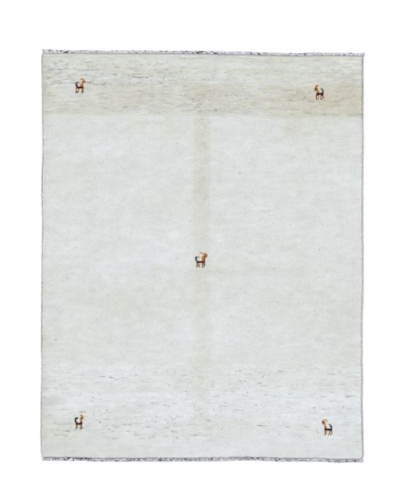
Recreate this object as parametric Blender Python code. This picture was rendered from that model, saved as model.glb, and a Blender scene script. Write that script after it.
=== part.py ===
"""Ivory gabbeh rug lying flat, in metres, +Z up.

A hand-knotted woollen cloth with its flat-woven end webs, an overcast
selvedge down each side and the warp ends plaited into a cord at each end.
+X runs across the rug and +Y along it, towards the end with the warmer band.
"""

import math
from typing import NamedTuple

import bmesh
import bpy

# Overall size
WIDTH = 1.500
LENGTH = 1.910
PIECE_GAP = 0.0003

# Knotted cloth
PILE_HEIGHT = 0.0125
WEB_HEIGHT = 0.0035
SIDE_HEIGHT = 0.0070
SIDE_SHOULDER = 0.014
END_SHOULDER = 0.012
WEB_SHOWING_TOP = 0.0050
WEB_SHOWING_BOTTOM = 0.0035
GRID_STEP = 0.058
RIM_LINES = (0.0, 0.0025, 0.0065, 0.014, 0.028)
END_LINES = (0.0015, 0.0045, 0.012, 0.028)

# Ridges left where the cloth was folded in four for storage
FOLD_ACROSS_AT_Y = -0.057
FOLD_ALONG_AT_X = 0.0
FOLD_RISE_ALONG = 0.0016
FOLD_RISE_ACROSS = 0.0010
FOLD_SPREAD = 0.030
FOLD_LINES = (-0.052, -0.026, 0.0, 0.026, 0.052)

# Overcast selvedges
SELVEDGE_WIDTH = 0.0080
SELVEDGE_HEIGHT = 0.0085
SELVEDGE_SWELL = 0.06
SELVEDGE_SWELL_TURN = 5.0

# Plaited ends
BRAID_WIDTH = 0.0140
BRAID_HEIGHT = 0.0085
BIGHT_PITCH = 0.0150
BIGHT_SLANT = 0.55
BIGHT_WAIST_OUT = 0.90
BIGHT_WAIST_UP = 0.68
BRAID_TIP_SCALE = 0.62
BRAID_TIP_RINGS = 2
TIP_SWELL_RINGS = 5

# Finish
PILE_COLOUR = (0.72, 0.73, 0.70)
SELVEDGE_COLOUR = (0.50, 0.50, 0.49)
PLAIT_COLOUR = (0.42, 0.42, 0.44)
WOOL_ROUGHNESS = 0.95
SHARP_FROM_DEGREES = 50
MERGE_WITHIN = 1e-6


class SectionPoint(NamedTuple):
    """A corner of a cord's section: its distance out from the cloth and up from the floor."""

    out: float
    up: float


# Shares of the cord's width and height, in order round it; the last and first lie on the floor
CORD_SECTION = (
    SectionPoint(0.05, 0.00),
    SectionPoint(0.00, 0.36),
    SectionPoint(0.14, 0.82),
    SectionPoint(0.50, 1.00),
    SectionPoint(0.86, 0.80),
    SectionPoint(1.00, 0.34),
    SectionPoint(0.80, 0.00),
)


class EdgeRow(NamedTuple):
    """A place along one edge, and how far the edge bows outwards there."""

    along: float
    bow: float


class Lump(NamedTuple):
    """A long low wave in the pile: its rise and its waves in a metre across and along."""

    rise: float
    across: float
    along: float
    phase: float


class Braid(NamedTuple):
    """One plaited end: which end, where its tips lie, and how much its first tip swells."""

    name: str
    end: int
    start_x: float
    finish_x: float
    tip_swell: float


# Each side edge, from the bottom of the rug to its top
LEFT_EDGE = (
    EdgeRow(-0.945, -0.0040),
    EdgeRow(-0.936, 0.0005),
    EdgeRow(-0.918, 0.0040),
    EdgeRow(-0.880, 0.0052),
    EdgeRow(-0.680, 0.0044),
    EdgeRow(-0.570, 0.0022),
    EdgeRow(-0.300, 0.0018),
    EdgeRow(-0.020, 0.0004),
    EdgeRow(0.120, -0.0024),
    EdgeRow(0.260, 0.0006),
    EdgeRow(0.350, 0.0006),
    EdgeRow(0.450, -0.0032),
    EdgeRow(0.630, -0.0024),
    EdgeRow(0.760, -0.0008),
    EdgeRow(0.900, 0.0007),
    EdgeRow(0.928, -0.0004),
    EdgeRow(0.940, -0.0030),
)
RIGHT_EDGE = (
    EdgeRow(-0.945, -0.0030),
    EdgeRow(-0.934, -0.0018),
    EdgeRow(-0.918, 0.0034),
    EdgeRow(-0.900, 0.0012),
    EdgeRow(-0.850, 0.0000),
    EdgeRow(-0.760, -0.0022),
    EdgeRow(-0.665, -0.0038),
    EdgeRow(-0.570, -0.0016),
    EdgeRow(-0.480, -0.0034),
    EdgeRow(-0.300, -0.0040),
    EdgeRow(-0.200, 0.0000),
    EdgeRow(-0.100, 0.0008),
    EdgeRow(0.230, -0.0006),
    EdgeRow(0.450, 0.0004),
    EdgeRow(0.540, 0.0018),
    EdgeRow(0.680, 0.0004),
    EdgeRow(0.940, 0.0003),
)

# Each end, from the rug's left to its right
TOP_EDGE = (
    EdgeRow(-0.750, 0.0036),
    EdgeRow(-0.570, 0.0034),
    EdgeRow(-0.380, 0.0020),
    EdgeRow(-0.200, 0.0018),
    EdgeRow(-0.010, 0.0000),
    EdgeRow(0.180, -0.0028),
    EdgeRow(0.280, -0.0060),
    EdgeRow(0.450, -0.0096),
    EdgeRow(0.545, -0.0068),
    EdgeRow(0.640, -0.0078),
    EdgeRow(0.750, -0.0100),
)
BOTTOM_EDGE = (
    EdgeRow(-0.750, -0.0048),
    EdgeRow(-0.700, -0.0036),
    EdgeRow(-0.570, -0.0034),
    EdgeRow(-0.480, 0.0008),
    EdgeRow(-0.200, 0.0002),
    EdgeRow(0.080, -0.0012),
    EdgeRow(0.175, -0.0052),
    EdgeRow(0.270, -0.0038),
    EdgeRow(0.360, 0.0002),
    EdgeRow(0.540, 0.0012),
    EdgeRow(0.640, 0.0056),
    EdgeRow(0.750, 0.0042),
)

LUMPS = (
    Lump(0.00060, 1.3, 2.1, 0.4),
    Lump(0.00050, 3.1, -1.2, 2.0),
    Lump(0.00040, -2.3, 3.7, 4.1),
    Lump(0.00030, 4.6, 2.9, 1.2),
)

BRAIDS = (
    Braid("end_braid_top", 1, -0.7420, 0.7535, 1.42),
    Braid("end_braid_bottom", -1, -0.7450, 0.7475, 1.10),
)


def clear_scene():
    """Takes out whatever the file opened with."""
    for item in list(bpy.data.objects):
        bpy.data.objects.remove(item, do_unlink=True)


def wool(name, colour):
    """A plain matt woollen material."""
    material = bpy.data.materials.new(name)
    material.use_nodes = True
    shader = material.node_tree.nodes["Principled BSDF"]
    shader.inputs["Base Color"].default_value = (*colour, 1.0)
    shader.inputs["Roughness"].default_value = WOOL_ROUGHNESS
    shader.inputs["Metallic"].default_value = 0.0
    return material


def bow_at(rows, along):
    """The outward bow at a place along an edge, easing from each row to the next."""
    along = min(max(along, rows[0].along), rows[-1].along)
    for before, after in zip(rows, rows[1:]):
        if along <= after.along:
            break
    share = (along - before.along) / (after.along - before.along)
    ease = share * share * (3.0 - 2.0 * share)
    return before.bow + (after.bow - before.bow) * ease


def grid_lines(length, near_start, near_finish, fold_at):
    """Distances of the cloth's grid lines: close at both rims and at the fold, even elsewhere."""
    fixed = [*near_start]
    fixed += [fold_at + offset for offset in FOLD_LINES]
    fixed += [length - inset for inset in reversed(near_finish)]
    lines = []
    for start, finish in zip(fixed, fixed[1:]):
        steps = math.ceil((finish - start) / GRID_STEP)
        lines += [start + (finish - start) * step / steps for step in range(steps)]
    return [*lines, fixed[-1]]


# The cloth between its selvedges and its plaited ends
CLOTH_WIDTH = WIDTH - 2 * (SELVEDGE_WIDTH + PIECE_GAP)
CLOTH_LENGTH = LENGTH - 2 * (BRAID_WIDTH + PIECE_GAP)


def end_lines(web):
    """Grid lines in from an end: over the web, up the first row of pile and back to full height."""
    return (0.0, *(web + inset for inset in END_LINES))


COLUMNS = grid_lines(CLOTH_WIDTH, RIM_LINES, RIM_LINES, CLOTH_WIDTH / 2 + FOLD_ALONG_AT_X)
ROWS = grid_lines(
    CLOTH_LENGTH,
    end_lines(WEB_SHOWING_BOTTOM),
    end_lines(WEB_SHOWING_TOP),
    CLOTH_LENGTH / 2 + FOLD_ACROSS_AT_Y,
)


def cloth_point(column, row):
    """Where a grid line across meets one along, with both pairs of uneven edges blended."""
    plain_x = column - CLOTH_WIDTH / 2
    plain_y = row - CLOTH_LENGTH / 2
    right = column / CLOTH_WIDTH
    top = row / CLOTH_LENGTH
    x = plain_x + right * bow_at(RIGHT_EDGE, plain_y) - (1 - right) * bow_at(LEFT_EDGE, plain_y)
    y = plain_y + top * bow_at(TOP_EDGE, plain_x) - (1 - top) * bow_at(BOTTOM_EDGE, plain_x)
    return x, y


def shoulder(distance, reach):
    """Rises from 0 at a rim to 1 where the rounding ends."""
    share = min(max(distance / reach, 0.0), 1.0)
    return math.sqrt(1.0 - (1.0 - share) ** 2)


def fold_ridge(distance, rise):
    """A soft ridge along an old fold."""
    return rise * math.exp(-((distance / FOLD_SPREAD) ** 2))


def full_height(x, y):
    """The pile's height away from the rims, with its fold ridges and long low waves."""
    height = PILE_HEIGHT
    height += fold_ridge(x - FOLD_ALONG_AT_X, FOLD_RISE_ALONG)
    height += fold_ridge(y - FOLD_ACROSS_AT_Y, FOLD_RISE_ACROSS)
    for lump in LUMPS:
        height += lump.rise * math.sin(math.tau * (lump.across * x + lump.along * y) + lump.phase)
    return height


def cloth_height(column, row):
    """The cloth's upper face: web at both ends, rounded pile edges, and full pile within."""
    side = min(column, CLOTH_WIDTH - column)
    end = min(row - WEB_SHOWING_BOTTOM, CLOTH_LENGTH - row - WEB_SHOWING_TOP)
    x, y = cloth_point(column, row)
    full = full_height(x, y)
    edge = SIDE_HEIGHT + (full - SIDE_HEIGHT) * shoulder(side, SIDE_SHOULDER)
    return WEB_HEIGHT + (edge - WEB_HEIGHT) * shoulder(end, END_SHOULDER)


def finished(bm, name, material, collection):
    """Turns a closed mesh into a smooth object with its faces outwards."""
    bmesh.ops.recalc_face_normals(bm, faces=bm.faces)
    mesh = bpy.data.meshes.new(name)
    bm.to_mesh(mesh)
    bm.free()
    mesh.materials.append(material)
    mesh.shade_smooth()
    mesh.set_sharp_from_angle(angle=math.radians(SHARP_FROM_DEGREES))
    piece = bpy.data.objects.new(name, mesh)
    collection.objects.link(piece)
    return piece


def laid_grid(bm, lines_across, lines_along, place):
    """A grid of faces whose crossings are put where place says."""
    bmesh.ops.create_grid(
        bm,
        x_segments=len(lines_across) - 1,
        y_segments=len(lines_along) - 1,
        size=0.5,
    )
    for vert in bm.verts:
        column = round((vert.co.x + 0.5) * (len(lines_across) - 1))
        row = round((vert.co.y + 0.5) * (len(lines_along) - 1))
        vert.co = place(lines_across[column], lines_along[row])


def knotted_field(collection):
    """The cloth: one flat-bottomed slab under its uneven pile."""
    bm = bmesh.new()

    def on_top(column, row):
        return *cloth_point(column, row), cloth_height(column, row)

    laid_grid(bm, COLUMNS, ROWS, on_top)
    rim = [edge for edge in bm.edges if edge.is_boundary]
    walls = bmesh.ops.extrude_edge_only(bm, edges=rim)["geom"]
    for vert in (item for item in walls if isinstance(item, bmesh.types.BMVert)):
        vert.co.z = 0.0
    underside = [edge for edge in bm.edges if edge.is_boundary]
    bmesh.ops.edgeloop_fill(bm, edges=underside)
    return finished(bm, "knotted_field", wool("ivory_pile", PILE_COLOUR), collection)


def cord(name, stations, place, material, collection):
    """A solid cord: its section repeated at each station and closed at both tips."""
    bm = bmesh.new()
    around = range(len(CORD_SECTION) + 1)

    def on_cord(station, corner):
        point = CORD_SECTION[corner % len(CORD_SECTION)]
        return place(station, point.out, point.up)

    laid_grid(bm, stations, around, on_cord)
    bmesh.ops.remove_doubles(bm, verts=bm.verts, dist=MERGE_WITHIN)
    bmesh.ops.holes_fill(bm, edges=[edge for edge in bm.edges if edge.is_boundary], sides=0)
    return finished(bm, name, material, collection)


def selvedge(name, side, collection):
    """The overcast cord down one side, following the cloth's own edge a hair away."""
    column = CLOTH_WIDTH if side > 0 else 0.0

    def place(index, out, up):
        x, y = cloth_point(column, ROWS[index])
        swell = 1.0 + SELVEDGE_SWELL * math.sin(index * SELVEDGE_SWELL_TURN)
        from_cloth = PIECE_GAP + out * SELVEDGE_WIDTH * min(swell, 1.0)
        return x + side * from_cloth, y, up * SELVEDGE_HEIGHT * swell

    material = wool(f"overcast_{name}", SELVEDGE_COLOUR)
    return cord(name, range(len(ROWS)), place, material, collection)


def cloth_end(x, end):
    """The y of the cloth's own end edge at x, straight between its grid lines."""
    row = CLOTH_LENGTH if end > 0 else 0.0
    points = [cloth_point(column, row) for column in COLUMNS]
    if x <= points[0][0]:
        return points[0][1]
    for before, after in zip(points, points[1:]):
        if x <= after[0]:
            share = (x - before[0]) / (after[0] - before[0])
            return before[1] + (after[1] - before[1]) * share
    return points[-1][1]


def tip_scale(ring, last):
    """The plait narrows over its last rings at both tips."""
    inward = min(ring, last - ring)
    return min(1.0, BRAID_TIP_SCALE + (1.0 - BRAID_TIP_SCALE) * inward / BRAID_TIP_RINGS)


def end_braid(braid, collection):
    """The warp ends plaited sideways: a crest and a waist for every slanting bight."""
    span = braid.finish_x - braid.start_x
    bights = round(span / BIGHT_PITCH)
    last = 2 * bights

    def place(ring, out, up):
        crest = ring % 2 == 1
        tip = tip_scale(ring, last)
        swell = 1.0
        if ring < TIP_SWELL_RINGS:
            swell += (braid.tip_swell - 1.0) * math.sin(math.pi * ring / TIP_SWELL_RINGS)
        width = BRAID_WIDTH * tip * swell * (1.0 if crest else BIGHT_WAIST_OUT)
        height = BRAID_HEIGHT * tip * (1.0 if crest else BIGHT_WAIST_UP)
        x = braid.start_x + span * ring / last + BIGHT_SLANT * out * width
        y = cloth_end(x, braid.end) + braid.end * (PIECE_GAP + out * width)
        return x, y, up * height

    material = wool(f"plait_{braid.name}", PLAIT_COLOUR)
    return cord(braid.name, range(last + 1), place, material, collection)


def centre_over_origin(pieces):
    """Moves all pieces together, so that the rug's box stands centred over the origin."""
    points = [vert.co for piece in pieces for vert in piece.data.vertices]
    middle_x = (min(p.x for p in points) + max(p.x for p in points)) / 2
    middle_y = (min(p.y for p in points) + max(p.y for p in points)) / 2
    for piece in pieces:
        for vert in piece.data.vertices:
            vert.co.x -= middle_x
            vert.co.y -= middle_y
        piece.data.update()


def main():
    clear_scene()
    rug = bpy.data.collections.new("gabbeh_rug")
    bpy.context.scene.collection.children.link(rug)
    pieces = [
        knotted_field(rug),
        selvedge("selvedge_left", -1, rug),
        selvedge("selvedge_right", 1, rug),
    ]
    pieces += [end_braid(braid, rug) for braid in BRAIDS]
    centre_over_origin(pieces)


main()
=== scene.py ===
"""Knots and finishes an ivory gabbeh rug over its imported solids, in metres, +Z up.

The rug lies flat: a ground cloth, hand-knotted pile in weft-wise strips, an
overcast selvedge down each side, a plait of warp ends at each end and a few
loose yarn ends. +Y runs towards the end with the warmer band.
"""

import math

import bmesh
import bpy
import numpy as np
from bpy.props import FloatProperty, FloatVectorProperty, IntProperty, PointerProperty
from bpy.types import Operator, Panel, PropertyGroup
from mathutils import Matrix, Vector


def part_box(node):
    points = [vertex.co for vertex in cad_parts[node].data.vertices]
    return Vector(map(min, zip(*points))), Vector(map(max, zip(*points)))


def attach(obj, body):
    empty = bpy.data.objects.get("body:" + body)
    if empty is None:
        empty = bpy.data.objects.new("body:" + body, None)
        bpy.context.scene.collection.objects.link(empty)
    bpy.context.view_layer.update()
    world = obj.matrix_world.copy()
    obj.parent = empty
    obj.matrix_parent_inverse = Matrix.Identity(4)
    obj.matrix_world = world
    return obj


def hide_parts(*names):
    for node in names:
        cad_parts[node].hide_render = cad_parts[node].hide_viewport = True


bl_info = {
    "name": "Gabbeh Rug",
    "version": (1, 0, 0),
    "blender": (4, 5, 0),
    "location": "View3D > Sidebar > Rug",
    "description": "Knots and finishes an ivory gabbeh rug and sets it in a pale studio",
    "category": "Object",
}

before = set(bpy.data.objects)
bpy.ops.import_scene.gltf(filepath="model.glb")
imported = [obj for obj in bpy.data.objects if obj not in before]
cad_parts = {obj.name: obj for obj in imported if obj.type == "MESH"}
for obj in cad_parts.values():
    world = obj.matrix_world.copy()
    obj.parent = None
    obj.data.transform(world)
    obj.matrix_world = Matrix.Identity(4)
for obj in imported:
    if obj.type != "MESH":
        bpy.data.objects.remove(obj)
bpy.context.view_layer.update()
CLOTH_LOW, CLOTH_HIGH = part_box("knotted_field")

# The cloth's cut size and edges, as in the rug's solids
PIECE_GAP = 0.0003
SELVEDGE_WIDTH = 0.0080
BRAID_WIDTH = 0.0140
CLOTH_WIDTH = 1.500 - 2 * (SELVEDGE_WIDTH + PIECE_GAP)
CLOTH_LENGTH = 1.910 - 2 * (BRAID_WIDTH + PIECE_GAP)
WEB_SHOWING_TOP = 0.0050
WEB_SHOWING_BOTTOM = 0.0035
PILE_LENGTH = CLOTH_LENGTH - WEB_SHOWING_BOTTOM - WEB_SHOWING_TOP

# Small sizes: half a knot, how much tufts stand out, how far the pile sinks into the web, the
# least height over the floor and the radius of a single yarn
HALF_KNOT = 0.0026
TUFT_RELIEF = 0.0012
PILE_SINK = 0.0003
FLOOR_GAP = 0.0002
YARN_RADIUS = 0.0009

# (distance along the edge, outward bow): sides run bottom to top, ends run left to right
LEFT_EDGE = (
    (-0.945, -0.0040), (-0.936, 0.0005), (-0.918, 0.0040), (-0.880, 0.0052),
    (-0.680, 0.0044), (-0.570, 0.0022), (-0.300, 0.0018), (-0.020, 0.0004),
    (0.120, -0.0024), (0.260, 0.0006), (0.350, 0.0006), (0.450, -0.0032),
    (0.630, -0.0024), (0.760, -0.0008), (0.900, 0.0007), (0.928, -0.0004),
    (0.940, -0.0030),
)
RIGHT_EDGE = (
    (-0.945, -0.0030), (-0.934, -0.0018), (-0.918, 0.0034), (-0.900, 0.0012),
    (-0.850, 0.0000), (-0.760, -0.0022), (-0.665, -0.0038), (-0.570, -0.0016),
    (-0.480, -0.0034), (-0.300, -0.0040), (-0.200, 0.0000), (-0.100, 0.0008),
    (0.230, -0.0006), (0.450, 0.0004), (0.540, 0.0018), (0.680, 0.0004),
    (0.940, 0.0003),
)
TOP_EDGE = (
    (-0.750, 0.0036), (-0.570, 0.0034), (-0.380, 0.0020), (-0.200, 0.0018),
    (-0.010, 0.0000), (0.180, -0.0028), (0.280, -0.0060), (0.450, -0.0096),
    (0.545, -0.0068), (0.640, -0.0078), (0.750, -0.0100),
)
BOTTOM_EDGE = (
    (-0.750, -0.0048), (-0.700, -0.0036), (-0.570, -0.0034), (-0.480, 0.0008),
    (-0.200, 0.0002), (0.080, -0.0012), (0.175, -0.0052), (0.270, -0.0038),
    (0.360, 0.0002), (0.540, 0.0012), (0.640, 0.0056), (0.750, 0.0042),
)

# Long low waves in the pile: rise, waves in a metre across and along, phase
LUMPS = (
    (0.00060, 1.3, 2.1, 0.4),
    (0.00050, 3.1, -1.2, 2.0),
    (0.00040, -2.3, 3.7, 4.1),
    (0.00030, 4.6, 2.9, 1.2),
)
FOLD_ACROSS_AT_Y = -0.057

# Where the warmer band starts, and the faded strip down the old fold
BAND_LOW = 0.6595
STRIP_X = -0.0035
STRIP_HALF_WIDTH = 0.041

# The wool of each letter in the charts of the walking goats, where a letter is a knot
GOAT_WOOLS = {
    "k": "black", "g": "smoke", "b": "umber", "r": "russet", "d": "chestnut",
    "h": "horn", "l": "shank", "f": "peach", "t": "hoof",
}

# Each goat: the x and y of its lower left corner, and its chart
GOATS = (
    (-0.5941, 0.7555, """
....fff..
....hhrf.
......rrf
.....frdr
kkk.frrdr
k...frrf.
kg..rrr..
kb.frrr..
gbbbbbb..
gbbbbbb..
lfl.fll..
lflffll..
ttlf.tl..
tt...tt..
"""),
    (0.5175, 0.7222, """
..ff.....
..hhf....
.rhhf....
frrff....
rddrf.kk.
.ddr...kk
..rrr...k
..frr..gk
..bbbbbbb
..bbbbbbb
..dllfldd
..tflflft
..tflflft
..dt..dt.
"""),
    (-0.0360, -0.0536, """
....hh..ff.
......hhhhf
......ffrrd
......frrdr
kkkg.frrddr
kg...frrdf.
kg...frrd..
kg....rrd..
.bbbbbbdd..
.bbbbbbdd..
.llffflld..
.lltffllt..
.tft..tft..
.t.t..tt...
"""),
    (-0.5980, -0.8070, """
.....ff..
.....hhf.
.....fhr.
.kk..rdrf
kkk..rdr.
kg...hrf.
kk...hh..
gkb..bb..
.bbbbbb..
.bbbbbb..
.llffll..
.ll.fll..
.lt..ll..
.t...tt..
"""),
    (0.5547, -0.8304, """
..hhf....
hrffh....
drrf.....
ddrf.....
.rrf..kk.
.frf...kk
..rr...gk
..rb...gk
..bbbbbbb
..bbbbbbb
..llfflll
..llfflfl
..tlfftft
..t..t.t.
"""),
)


def linear(*levels):
    """A colour given in screen levels from 0 to 255, as linear light."""
    return tuple(
        share / 12.92 if share <= 0.04045 else ((share + 0.055) / 1.055) ** 2.4
        for share in (level / 255 for level in levels)
    )


def wool_colour(name, description, *levels):
    """A wool's colour, kept as a property that a user may change."""
    return FloatVectorProperty(
        name=name, description=description, subtype="COLOR", size=3,
        min=0.0, max=1.0, default=linear(*levels),
    )


def length(name, description, default):
    """A length in metres, kept as a property that a user may change."""
    return FloatProperty(
        name=name, description=description, default=default, subtype="DISTANCE",
        unit="LENGTH", precision=5, min=0.0,
    )


def tally(name, description, default, least=0):
    """A whole number, kept as a property that a user may change."""
    return IntProperty(name=name, description=description, default=default, min=least)


class RugKnotting(PropertyGroup):
    """How the pile is knotted and sheared."""

    knots_across: tally("Knots across", "Knots in one row", 285, 50)
    knot_rows: tally("Knot rows", "Rows of knots", 360, 60)
    strips: tally("Strips", "Pieces the pile is split into", 5, 5)
    pile_height: length("Pile height", "Cloth and pile together", 0.0125)
    web_height: length("Web height", "Thickness of the ground cloth", 0.0035)
    side_height: length("Side height", "Pile height beside the selvedges", 0.0082)
    side_shoulder: length("Side shoulder", "Width of the rounded pile edge at the sides", 0.012)
    end_shoulder: length("End shoulder", "Width of the rounded pile edge at the ends", 0.012)
    side_flare: length("Side flare", "How far the outermost tufts lean over the selvedge", 0.0040)
    end_flare: length("End flare", "How far the last tufts lean over the bottom web", 0.0054)
    row_groove: length("Row groove", "Depth of the groove between rows", 0.00115)
    tuft_groove: length("Tuft groove", "Depth of the gap between tufts in a row", 0.00075)
    shear: length("Shear", "How unevenly the tufts are cut", 0.00020)
    clump: length("Clump", "How much the pile clumps", 0.00030)
    lean: length("Lean", "How far the tufts lean towards the bottom", 0.0008)
    wander: length("Wander", "How far the rows wander", 0.0016)
    seed: tally("Seed", "Chooses the hand of the weaver", 41)


class RugWools(PropertyGroup):
    """The dyed and natural wools."""

    ivory: wool_colour("Ivory", "Main field", 222, 225, 223)
    pale: wool_colour("Pale", "Cool white lots near the bottom", 229, 233, 236)
    cream: wool_colour("Cream", "Yellowish lots", 214, 216, 200)
    fawn: wool_colour("Fawn", "Warm beige lots", 199, 191, 168)
    grey: wool_colour("Grey", "Grey lots", 196, 200, 200)
    smoke: wool_colour("Smoke", "Dark fleeces in the yarn", 118, 116, 108)
    black: wool_colour("Black", "Goats' tails", 10, 11, 8)
    umber: wool_colour("Umber", "Goats' backs", 46, 18, 3)
    russet: wool_colour("Russet", "Goats' necks", 178, 116, 50)
    chestnut: wool_colour("Chestnut", "Goats' faces", 100, 54, 10)
    horn: wool_colour("Horn", "Goats' horns", 150, 122, 84)
    shank: wool_colour("Shank", "Goats' legs", 150, 118, 98)
    peach: wool_colour("Peach", "Between the goats' legs", 230, 202, 176)
    hoof: wool_colour("Hoof", "Goats' feet", 96, 80, 64)
    overcast: wool_colour("Overcast", "Selvedge yarn", 222, 220, 218)
    overcast_dark: wool_colour("Overcast, dark", "Darker lengths of selvedge yarn", 184, 180, 180)
    plait_light: wool_colour("Plait, light", "Pale warp ends", 220, 220, 226)
    plait_grey: wool_colour("Plait, grey", "Grey warp ends", 168, 168, 175)
    plait_dark: wool_colour("Plait, dark", "Dark warp ends", 74, 74, 80)


class RugEdging(PropertyGroup):
    """The selvedges and the plaited ends."""

    wraps: tally("Wraps", "Turns of yarn along each selvedge", 600, 50)
    selvedge_height: length("Selvedge height", "Thickness of the overcast cord", 0.0085)
    wrap_depth: FloatProperty(
        name="Wrap depth", description="Depth of the dip between turns, as a share of the cord",
        default=0.13, min=0.0, max=0.5,
    )
    wrap_slant: length("Wrap slant", "How far a turn slants over the cord", 0.0016)
    plait_period: length("Plait period", "Length of one full wave of a strand", 0.0340)
    plait_swing: length("Plait swing", "How far a strand swings sideways", 0.0042)
    plait_lift: length("Plait lift", "How far a strand rises and dips", 0.0019)
    strand_width: length("Strand width", "Half the width of a strand", 0.0030)
    strand_height: length("Strand height", "Half the height of a strand", 0.0023)
    rings_a_period: tally("Rings a period", "Rings in one wave of a strand", 16, 8)
    seed: tally("Seed", "Chooses the yarn lots of the edges", 7)


class RugStudio(PropertyGroup):
    """The pale studio."""

    camera_height: length("Camera height", "How high the camera hangs", 8.0)
    view_height: length("View height", "Length of floor that the photograph shows", 2.3293)
    look_x: FloatProperty(name="Look at X", description="Middle of the photograph", default=-0.0127)
    look_y: FloatProperty(name="Look at Y", description="Middle of the photograph", default=0.0259)
    sky: FloatProperty(name="Sky", description="Light from all round", default=0.855, min=0.0)
    key: FloatProperty(
        name="Key light", description="Strength of the soft key light", default=1.13, min=0.0
    )
    floor_size: length("Floor size", "Width of the floor", 60.0)


# The cloth's shape

def bow_at(rows, along):
    """The outward bow at each place along an edge, easing from row to row."""
    places, bows = np.array(rows).T
    along = np.clip(along, places[0], places[-1])
    after = np.clip(np.searchsorted(places, along), 1, len(places) - 1)
    share = (along - places[after - 1]) / (places[after] - places[after - 1])
    ease = share * share * (3.0 - 2.0 * share)
    return bows[after - 1] + (bows[after] - bows[after - 1]) * ease


def uncentred_place(column, row):
    """Where a distance across meets one along, with both pairs of uneven edges blended."""
    plain_x = column - CLOTH_WIDTH / 2
    plain_y = row - CLOTH_LENGTH / 2
    right = column / CLOTH_WIDTH
    top = row / CLOTH_LENGTH
    x = plain_x + right * bow_at(RIGHT_EDGE, plain_y) - (1 - right) * bow_at(LEFT_EDGE, plain_y)
    y = plain_y + top * bow_at(TOP_EDGE, plain_x) - (1 - top) * bow_at(BOTTOM_EDGE, plain_x)
    return x, y


def centring_shift():
    """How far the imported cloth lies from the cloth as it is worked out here."""
    sides = np.linspace(0, CLOTH_LENGTH, 400)
    ends = np.linspace(0, CLOTH_WIDTH, 400)
    x_low = uncentred_place(0.0, sides)[0].min()
    x_high = uncentred_place(CLOTH_WIDTH, sides)[0].max()
    y_low = uncentred_place(ends, 0.0)[1].min()
    y_high = uncentred_place(ends, CLOTH_LENGTH)[1].max()
    middle_x = (CLOTH_LOW.x + CLOTH_HIGH.x - x_low - x_high) / 2
    middle_y = (CLOTH_LOW.y + CLOTH_HIGH.y - y_low - y_high) / 2
    return middle_x, middle_y


SHIFT_X, SHIFT_Y = centring_shift()


def cloth_place(column, row):
    """The rug's own x and y for a distance across and one along."""
    x, y = uncentred_place(column, row)
    return x + SHIFT_X, y + SHIFT_Y


def shoulder(distance, reach):
    """Rises from 0 at a rim to 1 where the rounding ends."""
    share = np.clip(distance / reach, 0.0, 1.0)
    return np.sqrt(1.0 - (1.0 - share) ** 2)


def full_height(knotting, x, y):
    """The pile's height away from the rims, with its fold ridges and long low waves."""
    height = knotting.pile_height + 0.0016 * np.exp(-((x / 0.030) ** 2))
    height = height + 0.0010 * np.exp(-(((y - FOLD_ACROSS_AT_Y) / 0.030) ** 2))
    for rise, across, along, phase in LUMPS:
        height = height + rise * np.sin(math.tau * (across * x + along * y) + phase)
    return height


# Fields of numbers over the knots

def blurred(field, reach, axis):
    """A running mean over reach knots to each side."""
    if reach < 1:
        return field
    wide = [(0, 0)] * field.ndim
    wide[axis] = (reach + 1, reach)
    total = np.cumsum(np.pad(field, wide, mode="reflect"), axis=axis)
    count = 2 * reach + 1
    size = field.shape[axis]
    upper = np.take(total, np.arange(count, count + size), axis=axis)
    lower = np.take(total, np.arange(0, size), axis=axis)
    return (upper - lower) / count


def cloud(rng, shape, across, along):
    """Smooth noise with a mean of 0 and a spread of 1, soft over so many knots."""
    field = rng.standard_normal(shape)
    for _ in range(2):
        field = blurred(blurred(field, across, 1), along, 0)
    return (field - field.mean()) / field.std()


def wavering(rng, count, reach):
    """Smooth noise along one yarn."""
    return cloud(rng, (1, count), reach, 0)[0]


def eased(value, low, high):
    """0 below low, 1 above high, and a smooth rise between."""
    share = np.clip((value - low) / (high - low), 0.0, 1.0)
    return share * share * (3.0 - 2.0 * share)


def band(y, low, high, soft=0.006):
    """1 between two places along the rug, with soft ends."""
    return eased(y, low - soft, low + soft) * (1 - eased(y, high - soft, high + soft))


def patch(x, y, at_x, at_y, reach_x, reach_y):
    """A soft round patch."""
    return np.exp(-(((x - at_x) / reach_x) ** 2) - (((y - at_y) / reach_y) ** 2))


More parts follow.
